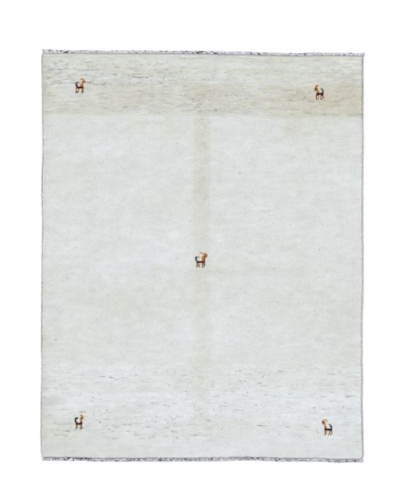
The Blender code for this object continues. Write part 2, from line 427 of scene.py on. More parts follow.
# Soft patches of wool lots, by wool: share, middle x and y, reach across and along
LOT_PATCHES = {
    "fawn": (
        (0.42, 0.030, 0.752, 0.085, 0.052), (0.50, 0.560, 0.725, 0.160, 0.075),
        (0.30, 0.720, 0.745, 0.080, 0.110), (0.24, 0.330, 0.745, 0.170, 0.050),
        (0.24, -0.330, 0.745, 0.230, 0.050), (0.26, -0.715, 0.800, 0.045, 0.110),
        (0.16, 0.110, 0.690, 0.110, 0.035), (0.26, 0.420, 0.612, 0.055, 0.055),
        (0.12, 0.560, 0.600, 0.110, 0.050), (0.10, -0.450, -0.240, 0.220, 0.080),
        (0.10, 0.590, -0.230, 0.110, 0.040), (0.12, -0.360, -0.760, 0.170, 0.060),
        (0.45, -0.742, 0.770, 0.014, 0.075), (0.20, -0.705, 0.806, 0.050, 0.036),
        (0.16, 0.680, 0.885, 0.070, 0.016), (0.22, 0.680, 0.806, 0.070, 0.034),
        (0.16, 0.470, -0.780, 0.035, 0.060),
    ),
    "cream": (
        (0.40, -0.110, 0.870, 0.130, 0.030), (0.40, 0.260, 0.865, 0.160, 0.030),
        (0.32, -0.430, 0.870, 0.160, 0.035), (0.50, -0.300, 0.605, 0.045, 0.045),
        (0.42, -0.178, 0.600, 0.035, 0.045), (0.22, -0.630, 0.600, 0.060, 0.060),
        (0.24, 0.330, 0.440, 0.040, 0.035), (0.16, 0.430, 0.340, 0.050, 0.050),
        (0.16, 0.240, 0.355, 0.040, 0.025), (0.14, -0.570, 0.400, 0.070, 0.050),
        (0.50, -0.205, -0.045, 0.030, 0.025), (0.22, -0.220, -0.052, 0.110, 0.035),
        (0.26, 0.090, -0.070, 0.070, 0.035), (0.38, 0.440, -0.060, 0.140, 0.032),
        (0.26, 0.470, 0.030, 0.040, 0.070), (0.28, -0.620, -0.055, 0.130, 0.032),
        (0.22, -0.400, -0.230, 0.250, 0.090), (0.26, -0.670, -0.835, 0.080, 0.060),
        (0.36, -0.715, 0.490, 0.045, 0.090), (0.26, -0.705, 0.922, 0.050, 0.012),
        (0.26, -0.705, -0.022, 0.050, 0.030), (0.20, -0.715, -0.250, 0.045, 0.170),
        (0.46, -0.715, -0.655, 0.055, 0.090), (0.12, 0.700, -0.480, 0.050, 0.050),
        (-0.60, 0.690, 0.905, 0.110, 0.030), (-0.16, 0.120, 0.830, 0.150, 0.035),
    ),
    "grey": (
        (0.14, -0.440, -0.066, 0.260, 0.026), (0.12, 0.440, -0.070, 0.250, 0.026),
        (0.16, -0.560, -0.800, 0.180, 0.080), (0.44, -0.715, 0.808, 0.050, 0.040),
        (0.24, 0.680, -0.745, 0.070, 0.070), (0.20, -0.715, -0.280, 0.045, 0.140),
        (0.40, -0.715, -0.655, 0.055, 0.080), (0.24, -0.715, -0.880, 0.045, 0.060),
        (0.18, 0.685, -0.300, 0.070, 0.150), (-0.20, 0.700, 0.930, 0.110, 0.020),
    ),
    "pale": (
        (0.46, -0.705, 0.890, 0.060, 0.014), (0.36, 0.690, 0.905, 0.110, 0.028),
        (0.14, 0.160, 0.890, 0.220, 0.016),
    ),
}


# Lengths of the rug woven from other lots: wool, share, from and to along the rug
LOT_BANDS = (
    ("cream", 0.44, 0.902, 0.945),
    ("grey", 0.08, 0.918, 0.945),
    ("cream", 0.26, 0.870, 0.902),
    ("grey", 0.16, 0.790, 0.872),
    ("cream", 0.38, 0.800, 0.872),
    ("cream", 0.44, 0.650, 0.800),
    ("fawn", 0.10, 0.650, 0.800),
    ("grey", 0.12, 0.650, 0.700),
    ("pale", 0.50, -0.700, -0.505),
    ("pale", 0.70, -0.770, -0.640),
    ("pale", 0.20, -0.860, -0.770),
    ("pale", 0.30, -0.945, -0.860),
    ("grey", 0.12, -0.945, -0.860),
)

# Streaks of other lots along the rows: wool, softness in knots, strength
LOT_STREAKS = (("cream", 4, 0.19), ("fawn", 5, 0.10), ("grey", 2, 0.22), ("pale", 4, 0.22))


def wool_lots(rng, x, y):
    """The share of each wool in every knot, before flecks: bands, patches and the old fold."""
    shape = x.shape
    lots = {name: np.zeros(shape) for name in ("pale", "cream", "fawn", "grey")}
    for name, share, low, high in LOT_BANDS:
        lots[name] += share * band(y, low, high)
    ragged_x = x + 0.018 * cloud(rng, shape, 9, 3)
    ragged_y = y + 0.012 * cloud(rng, shape, 14, 3)
    above = eased(ragged_y, 0.640, 0.668)
    for name, patches in LOT_PATCHES.items():
        for share, at_x, at_y, reach_x, reach_y in patches:
            spread = patch(ragged_x, ragged_y, at_x, at_y, reach_x, reach_y)
            inside = (y > BAND_LOW) == (at_y > BAND_LOW)
            lots[name] += share * spread * (0.12 + 0.88 * inside)
    from_fold = x - STRIP_X + 0.0028 * cloud(rng, shape, 3, 2)
    fold = np.exp(-(from_fold / STRIP_HALF_WIDTH) ** 4)
    lots["fawn"] += fold * (0.24 * band(y, 0.28, 0.66, 0.05) + 0.14 * band(y, -0.20, 0.30, 0.10))
    lots["cream"] += fold * (0.24 * band(y, 0.0, 0.66, 0.08) + 0.20 * band(y, -0.80, 0.02, 0.05))
    lots["fawn"] += 0.07 * fold * band(y, -0.74, -0.20, 0.06)
    flank = patch(ragged_x, y, 0.072, -0.30, 0.022, 0.36)
    flank += patch(ragged_x, y, -0.072, -0.42, 0.022, 0.25)
    lots["pale"] += 0.50 * flank
    streaky = 0.10 + 0.90 * above * band(y, 0.655, 0.945) + 0.30 * band(y, -0.86, -0.50, 0.03)
    streaky = streaky * np.clip(0.85 + 0.35 * cloud(rng, shape, 18, 5), 0.2, 1.8)
    for name, reach, spread in LOT_STREAKS:
        lots[name] += spread * streaky * cloud(rng, shape, reach, 0)
    mottle = cloud(rng, shape, 26, 10)
    lots["cream"] += 0.07 * mottle
    lots["pale"] -= 0.16 * mottle + 0.12 * cloud(rng, shape, 8, 5)
    return {name: np.clip(share, 0.0, 0.9) for name, share in lots.items()}


# Dark dashes: how many, from and to along the rug, longest in knots, share of dark fleece, and
# from and to across the rug where not over its whole width
DASHES = (
    (700, 0.660, 0.925, 7, 0.30), (210, 0.790, 0.905, 8, 0.50, -0.73, -0.15),
    (80, 0.785, 0.880, 8, 0.42, -0.15, 0.72), (20, 0.778, 0.802, 7, 0.55, -0.56, -0.26),
    (170, 0.665, 0.765, 3, 0.42, -0.08, 0.22), (80, 0.660, 0.780, 8, 0.45, 0.35, 0.74),
    (100, 0.660, 0.760, 8, 0.36, -0.50, 0.0), (440, -0.860, -0.505, 6, 0.42),
    (90, -0.860, -0.505, 4, 0.85), (130, -0.850, -0.745, 8, 0.50, -0.73, 0.05),
    (420, -0.930, 0.650, 1, 0.26), (34, -0.500, 0.650, 2, 0.80),
    (150, -0.150, 0.640, 1, 0.34, -0.042, 0.036),
)


def fleck_share(rng, x, y):
    """The share of dark fleece in every knot: short dashes along the rows and single specks."""
    rows, knots = x.shape
    flecks = np.zeros(x.shape)

    def dashes(count, low, high, longest, depth, left=-0.75, right=0.75):
        """Dark dashes, each along one row, over part of the rug."""
        inside = np.flatnonzero((y[:, knots // 2] > low) & (y[:, knots // 2] < high))
        reach = np.flatnonzero((x[0] > left) & (x[0] < right))
        for _ in range(count):
            row, start = rng.choice(inside), rng.choice(reach)
            size = 1 + int(rng.exponential(longest / 3.0))
            strength = depth * rng.uniform(0.25, 1.0) ** 1.6
            run = flecks[row, start:start + size]
            run += strength * rng.uniform(0.3, 1.0, run.shape)
            if rng.random() < 0.3 and row + 1 < rows:
                part = flecks[row + 1, start:start + size // 2]
                part += 0.5 * strength * rng.uniform(0.2, 1.0, part.shape)

    for run in DASHES:
        dashes(*run)
    streak = cloud(rng, x.shape, 2, 0) * (band(y, 0.66, 0.92) + 0.55 * band(y, -0.86, -0.51, 0.02))
    return np.clip(flecks + 0.05 * np.clip(streak, -0.6, 3), -0.05, 0.9)


def knot_in_goats(colours, wools, x, y):
    """Knots the goats into the field, each from its chart."""
    for left, low, chart in GOATS:
        nearest = np.argmin((x - left - HALF_KNOT) ** 2 + (y - low - HALF_KNOT) ** 2)
        bottom, start = np.unravel_index(nearest, x.shape)
        for row, line in enumerate(reversed(chart.split()), bottom):
            for knot, letter in enumerate(line, start):
                if letter in GOAT_WOOLS:
                    colours[row, knot] = getattr(wools, GOAT_WOOLS[letter])


def weaving_plan(knotting, wools):
    """The colour of every knot, row by row from the bottom of the rug."""
    rng = np.random.default_rng(knotting.seed)
    across = (np.arange(knotting.knots_across) + 0.5) / knotting.knots_across
    along = (np.arange(knotting.knot_rows) + 0.5) / knotting.knot_rows
    column, row = np.meshgrid(
        across * CLOTH_WIDTH,
        WEB_SHOWING_BOTTOM + along * PILE_LENGTH,
    )
    x, y = column - CLOTH_WIDTH / 2, row - CLOTH_LENGTH / 2
    colours = np.broadcast_to(np.array(wools.ivory), (*x.shape, 3)).copy()
    for name, share in wool_lots(rng, x, y).items():
        colours += share[..., None] * (np.array(getattr(wools, name)) - colours)
    flecks = fleck_share(rng, x, y)[..., None]
    colours += flecks * (np.array(wools.smoke) - colours)
    tone_and_painted_light = 0.009 * cloud(rng, x.shape, 3, 1) + 0.004 * cloud(rng, x.shape, 1, 1)
    tone_and_painted_light += 0.006 * cloud(rng, x.shape, 7, 1)
    # Painted shade along the pile's left rim and top rim, and a little painted light along its
    # right rim
    tone_and_painted_light -= 0.075 * np.exp(-((column / 0.016) ** 2))
    tone_and_painted_light += 0.010 * np.exp(-(((CLOTH_WIDTH - column) / 0.016) ** 2))
    tone_and_painted_light -= 0.080 * np.exp(-(((CLOTH_LENGTH - WEB_SHOWING_TOP - row) / 0.015) ** 2))
    tone_and_painted_light += 0.075 * patch(x, y, 0.690, 0.922, 0.080, 0.018)
    colours *= (1 + tone_and_painted_light)[..., None]
    place_x, place_y = cloth_place(column, row)
    knot_in_goats(colours, wools, place_x, place_y)
    return np.clip(colours, 0.004, 0.95)


# Meshes

def closed_grid(name, across, along):
    """A grid of faces with walls down from its sharp rim and a flat far side.

    Returns the object and, for each vertex, its column, its row and whether it is on the far side.
    """
    bm = bmesh.new()
    bmesh.ops.create_grid(bm, x_segments=across, y_segments=along, size=0.5)
    rim = [edge for edge in bm.edges if edge.is_boundary]
    for edge in rim:
        edge.smooth = False
    walls = bmesh.ops.extrude_edge_only(bm, edges=rim)["geom"]
    for vert in (item for item in walls if isinstance(item, bmesh.types.BMVert)):
        vert.co.z = -1.0
    bmesh.ops.edgeloop_fill(bm, edges=[edge for edge in bm.edges if edge.is_boundary])
    bmesh.ops.recalc_face_normals(bm, faces=bm.faces)
    piece = finished(bm, name)
    places = numbers(piece.data.vertices, "co", float, 3).reshape(-1, 3)
    column = np.rint((places[:, 0] + 0.5) * across).astype(int)
    row = np.rint((places[:, 1] + 0.5) * along).astype(int)
    return piece, column, row, places[:, 2] < -0.5


def finished(bm, name):
    """Turns a bmesh into a smooth object in the scene."""
    mesh = bpy.data.meshes.new(name)
    bm.to_mesh(mesh)
    bm.free()
    mesh.shade_smooth()
    piece = bpy.data.objects.new(name, mesh)
    bpy.context.scene.collection.objects.link(piece)
    return piece


def numbers(items, field, kind=np.int32, each=1):
    """One field of every item, in a row of numbers."""
    found = np.empty(len(items) * each, dtype=kind)
    items.foreach_get(field, found)
    return found


def put_vertices(mesh, places):
    """Moves every vertex to its place."""
    mesh.vertices.foreach_set("co", np.ascontiguousarray(places).ravel())
    mesh.update()


def tint_vertices(mesh, colours):
    """Keeps a colour for every vertex in the attribute that the wool materials read."""
    layer = mesh.color_attributes.new("wool", "FLOAT_COLOR", "POINT")
    rgba = np.ones((len(colours), 4))
    rgba[:, :3] = colours
    layer.data.foreach_set("color", rgba.ravel())


def unroll(mesh, flat_u, flat_v, far, name):
    """Lays the grid over the whole square of a map, and its walls and far side in a strip below."""
    corners = numbers(mesh.loops, "vertex_index")
    any_far = np.add.reduceat(far[corners].astype(int), numbers(mesh.polygons, "loop_start")) > 0
    hidden = np.repeat(any_far, numbers(mesh.polygons, "loop_total"))
    u = 0.004 + 0.992 * flat_u[corners]
    v = 0.030 + 0.966 * flat_v[corners]
    v = np.where(hidden, 0.004 + 0.016 * flat_v[corners] + 0.004 * far[corners], v)
    layer = mesh.uv_layers.new(name=name)
    layer.data.foreach_set("uv", np.stack([u, v], axis=1).ravel())


def tube(centres, sides, ups, first=0):
    """A closed tube: a ring round each centre, with the ring's reach along sides and ups.

    sides and ups hold a vector for every ring and every place round it. The rings are numbered
    from first, so that several tubes can share one list of colours.
    """
    rings, around = sides.shape[:2]
    bm = bmesh.new()
    bmesh.ops.create_grid(bm, x_segments=rings - 1, y_segments=around, size=0.5)
    spots = []
    for vert in bm.verts:
        ring = round((vert.co.x + 0.5) * (rings - 1))
        turn = round((vert.co.y + 0.5) * around) % around
        spots.append((ring, turn))
    places = centres[:, None, :] + sides + ups
    places[..., 2] = np.maximum(places[..., 2], FLOOR_GAP)
    coordinates = places[[ring for ring, _ in spots], [turn for _, turn in spots]]
    for vert, place in zip(bm.verts, coordinates):
        vert.co = place
    along = bm.loops.layers.uv.new("yarn")
    for face in bm.faces:
        for loop in face.loops:
            ring, turn = spots[loop.vert.index]
            loop[along].uv = (ring / (rings - 1), turn / around)
    order = bm.verts.layers.int.new("ring")
    for vert, (ring, _) in zip(bm.verts, spots):
        vert[order] = first + ring
    bmesh.ops.remove_doubles(bm, verts=bm.verts, dist=1e-7)
    bmesh.ops.holes_fill(bm, edges=[edge for edge in bm.edges if edge.is_boundary], sides=0)
    bmesh.ops.recalc_face_normals(bm, faces=bm.faces)
    return bm


def frames(path, reference):
    """The unit vectors across a path and square to it, kept close to a reference direction."""
    heading = np.gradient(path, axis=0)
    heading /= np.linalg.norm(heading, axis=1, keepdims=True)
    over = np.array(reference) - (heading @ np.array(reference))[:, None] * heading
    over /= np.linalg.norm(over, axis=1, keepdims=True)
    return np.cross(heading, over), over


def yarn(path, radii, reference, first):
    """A round yarn along a path."""
    across, over = frames(path, reference)
    angle = np.arange(6) / 6 * math.tau
    sides = (across * radii[:, None])[:, None, :] * np.cos(angle)[None, :, None]
    ups = (over * radii[:, None])[:, None, :] * np.sin(angle)[None, :, None]
    return tube(path, sides, ups, first)


def gathered(parts, name):
    """Joins several tubes into one object."""
    whole = parts[0]
    for part in parts[1:]:
        loose = bpy.data.meshes.new("yarn")
        part.to_mesh(loose)
        part.free()
        whole.from_mesh(loose)
        bpy.data.meshes.remove(loose)
    return finished(whole, name)


def tint_rings(mesh, shades):
    """Colours every vertex from its ring's place in a list of colours."""
    rings = numbers(mesh.attributes["ring"].data, "value")
    tint_vertices(mesh, np.clip(shades[rings], 0.003, 0.95))
    mesh.attributes.remove(mesh.attributes["ring"])


# Shader building

def new_node(tree, kind, **settings):
    """A node with its settings, set out after the ones before it, eight to a row."""
    count = len(tree.nodes)
    made = tree.nodes.new(kind)
    made.location = (count % 8 * 200, -300 * (count // 8))
    for setting, value in settings.items():
        setattr(made, setting, value)
    return made


def group_tree(name, values, results=("Height",)):
    """A node group from a colour and values to a colour and results, with its two end nodes."""
    tree = bpy.data.node_groups.new(name, "ShaderNodeTree")
    tree.interface.new_socket("Colour", in_out="INPUT", socket_type="NodeSocketColor")
    for label, default in values.items():
        socket = tree.interface.new_socket(label, in_out="INPUT", socket_type="NodeSocketFloat")
        socket.default_value = default
    tree.interface.new_socket("Colour", in_out="OUTPUT", socket_type="NodeSocketColor")
    for label in results:
        tree.interface.new_socket(label, in_out="OUTPUT", socket_type="NodeSocketFloat")
    return tree, new_node(tree, "NodeGroupInput"), new_node(tree, "NodeGroupOutput")


def object_place(tree):
    """The place in the object's own coordinates."""
    return new_node(tree, "ShaderNodeTexCoord").outputs["Object"]


def stretched(tree, place, stretch):
    """A place scaled along each axis."""
    mapping = new_node(tree, "ShaderNodeMapping")
    mapping.inputs["Scale"].default_value = stretch
    tree.links.new(place, mapping.inputs["Vector"])
    return mapping.outputs[0]


def sums(tree, operation, *values, clamp=False):
    """A Math node, with a link or a number on each of its inputs."""
    made = new_node(tree, "ShaderNodeMath", operation=operation, use_clamp=clamp)
    for slot, value in zip(made.inputs, values):
        if isinstance(value, (int, float)):
            slot.default_value = value
        else:
            tree.links.new(value, slot)
    return made.outputs[0]


def noise(tree, place, scale, detail):
    """A noise on a place."""
    made = new_node(tree, "ShaderNodeTexNoise")
    made.inputs["Detail"].default_value = detail
    tree.links.new(scale, made.inputs["Scale"])
    tree.links.new(place, made.inputs["Vector"])
    return made.outputs["Fac"]


def send_out(tree, entry, leave, height, factor):
    """Sends a group's height out, and its colour made lighter or darker by a factor."""
    tree.links.new(height, leave.inputs["Height"])
    made = new_node(tree, "ShaderNodeVectorMath", operation="SCALE")
    tree.links.new(entry.outputs["Colour"], made.inputs[0])
    tree.links.new(factor, made.inputs["Scale"])
    tree.links.new(made.outputs[0], leave.inputs["Colour"])


def fibre_group():
    """Wool fibres: fine tufts of light and dark, a rough height and a varied roughness."""
    tree, entry, leave = group_tree(
        "Wool fibres", {"Fibre scale": 900.0, "Tuft scale": 260.0, "Contrast": 0.3},
        ("Height", "Roughness"),
    )
    place = object_place(tree)
    fine = noise(tree, stretched(tree, place, (1.0, 0.55, 0.8)), entry.outputs["Fibre scale"], 3.0)
    tuft = noise(tree, place, entry.outputs["Tuft scale"], 2.0)
    height = sums(tree, "ADD", sums(tree, "MULTIPLY", fine, 0.6), sums(tree, "MULTIPLY", tuft, 0.4))
    swing = sums(tree, "SUBTRACT", height, 0.5)
    shade = sums(tree, "MULTIPLY_ADD", swing, entry.outputs["Contrast"], 1.0)
    send_out(tree, entry, leave, height, shade)
    tree.links.new(sums(tree, "MULTIPLY_ADD", fine, 0.16, 0.84), leave.inputs["Roughness"])
    return tree


def twist_group():
    """Twisted yarn: plies that run slantwise along a strand, from the yarn's own map."""
    tree, entry, leave = group_tree("Yarn twist", {"Turns": 300.0, "Plies": 3.0, "Depth": 0.25})
    parts = new_node(tree, "ShaderNodeSeparateXYZ")
    tree.links.new(new_node(tree, "ShaderNodeUVMap", uv_map="yarn").outputs[0], parts.inputs[0])
    along = sums(tree, "MULTIPLY", parts.outputs["X"], entry.outputs["Turns"])
    round_it = sums(tree, "MULTIPLY", parts.outputs["Y"], entry.outputs["Plies"])
    phase = sums(tree, "MULTIPLY", sums(tree, "ADD", along, round_it), math.tau)
    ply = sums(tree, "ABSOLUTE", sums(tree, "SINE", phase))
    # Painted shade in the grooves between plies and painted light on their crowns, as deep as Depth
    swing = sums(tree, "SUBTRACT", ply, 0.64)
    shade = sums(tree, "MULTIPLY_ADD", swing, entry.outputs["Depth"], 1.0)
    send_out(tree, entry, leave, ply, shade)
    return tree


def back_group():
    """The knotted back: a node of yarn for every knot, in rows."""
    tree, entry, leave = group_tree("Knotted back", {"Knot pitch": 0.0052})
    parts = new_node(tree, "ShaderNodeSeparateXYZ")
    tree.links.new(object_place(tree), parts.inputs[0])
    rounds = []
    for axis in "XY":
        turn = sums(tree, "DIVIDE", parts.outputs[axis], entry.outputs["Knot pitch"])
        wave = sums(tree, "SINE", sums(tree, "MULTIPLY", turn, math.pi))
        rounds.append(sums(tree, "ABSOLUTE", wave))
    knot = sums(tree, "MULTIPLY", *rounds)
    # Painted shade in the hollows between knots, lighter on each knot
    send_out(tree, entry, leave, knot, sums(tree, "MULTIPLY_ADD", knot, 0.35, 0.75))
    return tree


def tuft_group():
    """Cut pile: small round tuft ends, each its own shade, with painted shade in the gaps between
    them and painted light on their tops.
    """
    tree, entry, leave = group_tree(
        "Cut tufts", {"Tufts a metre": 360.0, "Heather": 0.10, "Gap": 0.22}
    )
    cells = new_node(tree, "ShaderNodeTexVoronoi")
    tree.links.new(stretched(tree, object_place(tree), (1.0, 1.0, 0.25)), cells.inputs["Vector"])
    tree.links.new(entry.outputs["Tufts a metre"], cells.inputs["Scale"])
    hollow = sums(tree, "POWER", cells.outputs["Distance"], 1.6)
    dome = sums(tree, "SUBTRACT", 1.0, hollow, clamp=True)
    own = sums(tree, "SUBTRACT", cells.outputs["Color"], 0.5)
    own = sums(tree, "MULTIPLY", own, entry.outputs["Heather"])
    # Painted shade towards each tuft's rim and painted light on its middle, as strong as Gap
    gap_shade = sums(tree, "MULTIPLY", sums(tree, "SUBTRACT", dome, 0.72), entry.outputs["Gap"])
    shade = sums(tree, "ADD", sums(tree, "ADD", own, gap_shade), 1.0)
    send_out(tree, entry, leave, dome, shade)
    return tree


WOOL_GROUPS = {
    "Wool fibres": fibre_group,
    "Yarn twist": twist_group,
    "Knotted back": back_group,
    "Cut tufts": tuft_group,
}


def placed_group(tree, name, colour, values):
    """A wool group in a material, on a colour and with its own values, built the first time."""
    group = bpy.data.node_groups.get(name) or WOOL_GROUPS[name]()
    made = new_node(tree, "ShaderNodeGroup", node_tree=group)
    tree.links.new(colour, made.inputs["Colour"])
    for label, value in values.items():
        made.inputs[label.replace("_", " ")].default_value = value
    return made.outputs


def wool_material(name, fibre, under, bump=0.6, distance=0.0008, sheen=0.1, **values):
    """Matt wool in the piece's own colours: fibres over another group, such as plies or tufts."""
    material = bpy.data.materials.new(name)
    material.use_nodes = True
    tree = material.node_tree
    shader = tree.nodes["Principled BSDF"]
    for label, value in (
        ("Metallic", 0.0), ("Specular IOR Level", 0.25),
        ("Sheen Weight", sheen), ("Sheen Roughness", 0.55),
    ):
        shader.inputs[label].default_value = value
    colour = new_node(tree, "ShaderNodeVertexColor", layer_name="wool").outputs["Color"]
    made = placed_group(tree, under, colour, values)
    fibres = placed_group(tree, "Wool fibres", made["Colour"], fibre)
    height = sums(tree, "ADD", sums(tree, "MULTIPLY", fibres["Height"], 0.4), made["Height"])
    relief = new_node(tree, "ShaderNodeBump")
    relief.inputs["Strength"].default_value = bump
    relief.inputs["Distance"].default_value = distance
    tree.links.new(height, relief.inputs["Height"])
    tree.links.new(relief.outputs[0], shader.inputs["Normal"])
    tree.links.new(fibres["Colour"], shader.inputs["Base Color"])
    tree.links.new(fibres["Roughness"], shader.inputs["Roughness"])
    return material


def pile_material():
    """Sheared pile wool."""
    return bpy.data.materials.get("sheared_pile") or wool_material(
        "sheared_pile", dict(Fibre_scale=1500.0, Tuft_scale=500.0, Contrast=0.30), "Cut tufts",
        distance=0.0011, sheen=0.12, Tufts_a_metre=340.0, Heather=0.05, Gap=0.18,
    )


# The pieces

def pile_surface(knotting, plan):
    """The place and the colour of every crossing of the pile's grid, two to a knot each way."""
    rng = np.random.default_rng(knotting.seed + 1)
    knots, rows = knotting.knots_across, knotting.knot_rows
    across, along = 2 * knots, 2 * rows
    column, row = np.meshgrid(
        np.arange(across + 1) / across * CLOTH_WIDTH,
        WEB_SHOWING_BOTTOM + np.arange(along + 1) / along * PILE_LENGTH,
    )
    side = np.minimum(column, CLOTH_WIDTH - column)
    from_bottom = row - WEB_SHOWING_BOTTOM
    from_top = CLOTH_LENGTH - WEB_SHOWING_TOP - row
    end = np.minimum(from_bottom, from_top)
    x, y = cloth_place(column, row)
    full = full_height(knotting, x - SHIFT_X, y - SHIFT_Y)
    rounding = shoulder(side, knotting.side_shoulder)
    height = knotting.side_height + (full - knotting.side_height) * rounding
    rounding = shoulder(end, knotting.end_shoulder)
    height = knotting.web_height + (height - knotting.web_height) * rounding

    # Each tuft's own height, and the grooves round it
    tufts = knotting.shear * rng.standard_normal((rows, knots))
    tufts += knotting.clump * cloud(rng, (rows, knots), 2, 2)
    tufts = np.clip(tufts, -0.0016, 0.0016)
    padded = np.pad(tufts, 1, mode="edge")
    depth = 1 + 0.10 * rng.standard_normal(column.shape)
    depth = np.clip(depth + 0.12 * cloud(rng, column.shape, 5, 2), 0.2, 1.8)
    relief = np.empty(column.shape)
    relief[1::2, 1::2] = tufts
    relief[1::2, 0::2] = (padded[1:-1, :-1] + padded[1:-1, 1:]) / 2
    relief[1::2, 0::2] -= knotting.tuft_groove * depth[1::2, 0::2]
    relief[0::2, 1::2] = (padded[:-1, 1:-1] + padded[1:, 1:-1]) / 2
    relief[0::2, 1::2] -= knotting.row_groove * depth[0::2, 1::2]
    relief[0::2, 0::2] = (padded[:-1, :-1] + padded[1:, :-1] + padded[:-1, 1:] + padded[1:, 1:]) / 4
    relief[0::2, 0::2] -= (knotting.row_groove + 0.4 * knotting.tuft_groove) * depth[0::2, 0::2]
    relief += 0.00012 * rng.standard_normal(relief.shape)
    rim = np.minimum(shoulder(side, 0.008), shoulder(end, 0.008))
    height = height + relief * rim

    # Rows wander, tufts lean to the bottom, and the outermost lean over the edges
    free = np.minimum(eased(side, 0.0, 0.05), eased(end, 0.0, 0.05))
    y = y + knotting.wander * free * cloud(rng, y.shape, 46, 30)
    x = x + 0.5 * knotting.wander * free * cloud(rng, x.shape, 30, 46)
    loose = rng.uniform(-1, 1, x.shape) * 0.00055 * rim
    x = x + loose
    y = y + rng.uniform(-1, 1, y.shape) * 0.00060 * rim
    y[1:-1] -= (knotting.lean * (1 + relief / TUFT_RELIEF) * rim)[1:-1]
    tuft_pitch = CLOTH_WIDTH / across
    over_side = knotting.side_flare * np.exp(-(((side / tuft_pitch - 1.2) / 0.9) ** 2))
    over_side *= 1 + 0.45 * cloud(rng, x.shape, 0, 1)
    over_side[:, [0, -1]] = 0.0
    x = x + np.where(column < CLOTH_WIDTH / 2, -1.0, 1.0) * over_side
    over_end = knotting.end_flare * np.exp(-(((from_bottom / tuft_pitch - 1.3) / 1.0) ** 2))
    over_end *= 1 + 0.35 * cloud(rng, x.shape, 1, 0)
    over_end[0] = 0.0
    y = y - over_end * shoulder(side, 0.004)

    # Colour: a crossing between knots mixes its neighbours by chance, with painted shade in the
    # grooves
    padded_plan = np.pad(plan, ((1, 1), (1, 1), (0, 0)), mode="edge")
    mix_x = rng.uniform(0.15, 0.85, (rows + 2, knots + 1, 1))
    mix_y = rng.uniform(0.15, 0.85, (rows + 1, across + 1, 1))
    in_rows = np.empty((rows + 2, across + 1, 3))
    in_rows[:, 1::2] = padded_plan[:, 1:-1]
    in_rows[:, 0::2] = padded_plan[:, :-1] * mix_x + padded_plan[:, 1:] * (1 - mix_x)
    colours = np.empty((*x.shape, 3))
    colours[1::2] = in_rows[1:-1]
    colours[0::2] = in_rows[:-1] * mix_y + in_rows[1:] * (1 - mix_y)
    between_rows = (np.arange(along + 1) % 2 == 0)[:, None]
    between_tufts = (np.arange(across + 1) % 2 == 0)[None, :]
    # Painted shade in the grooves between rows and between tufts, and painted light on high tufts
    shade = 1.0 - 0.07 * between_rows - 0.04 * between_tufts
    shade = shade + 0.04 * np.clip(relief / TUFT_RELIEF, -1, 1)
    colours = colours * shade[..., None]
    return np.stack([x, y, height], axis=-1), colours


class RUG_OT_knot_pile(Operator):
    """Knots the pile over the ground cloth, in strips along the wefts"""

    bl_idname = "rug.knot_pile"
    bl_label = "Knot the Pile"

    def execute(self, context):
        knotting = context.scene.rug_knotting
        plan = weaving_plan(knotting, context.scene.rug_wools)
        places, colours = pile_surface(knotting, plan)
        across = 2 * knotting.knots_across
        rows_each = 2 * knotting.knot_rows // knotting.strips
        for strip in range(knotting.strips):
            start = strip * rows_each
            piece, column, row, far = closed_grid(f"pile_strip_{strip + 1}", across, rows_each)
            spots = places[start + row, column].copy()
            spots[far, 2] = knotting.web_height - PILE_SINK
            put_vertices(piece.data, spots)
            tint_vertices(piece.data, colours[start + row, column])
            unroll(piece.data, column / across, row / rows_each, far, "OFBake")
            piece.data.materials.append(pile_material())
            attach(piece, "root")
        return {"FINISHED"}


class RUG_OT_weave_ground(Operator):
    """Weaves the ground cloth, with its flat webs at the ends and its knotted back"""

    bl_idname = "rug.weave_ground"
    bl_label = "Weave the Ground"

    def execute(self, context):
        knotting = context.scene.rug_knotting
        plan = weaving_plan(knotting, context.scene.rug_wools)
        across, along = knotting.knots_across // 3, knotting.knot_rows // 3
        piece, column, row, far = closed_grid("ground_cloth", across, along)
        x, y = cloth_place(
            PIECE_GAP + column / across * (CLOTH_WIDTH - 2 * PIECE_GAP), row / along * CLOTH_LENGTH
        )
        put_vertices(piece.data, np.stack([x, y, np.where(far, knotting.web_height, 0.0)], axis=1))
        piece.data.flip_normals()
        knot = np.minimum(column * 3, knotting.knots_across - 1)
        line = np.minimum(row * 3, knotting.knot_rows - 1)
        tint_vertices(piece.data, plan[line, knot] * 0.86)
        unroll(piece.data, column / across, row / along, far, "OFBake")
        piece.data.materials.append(
            wool_material(
                "knotted_back", dict(Fibre_scale=700.0, Tuft_scale=240.0, Contrast=0.25),
                "Knotted back", Knot_pitch=CLOTH_WIDTH / knotting.knots_across,
            )
        )
        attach(piece, "root")
        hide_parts("knotted_field")
        return {"FINISHED"}


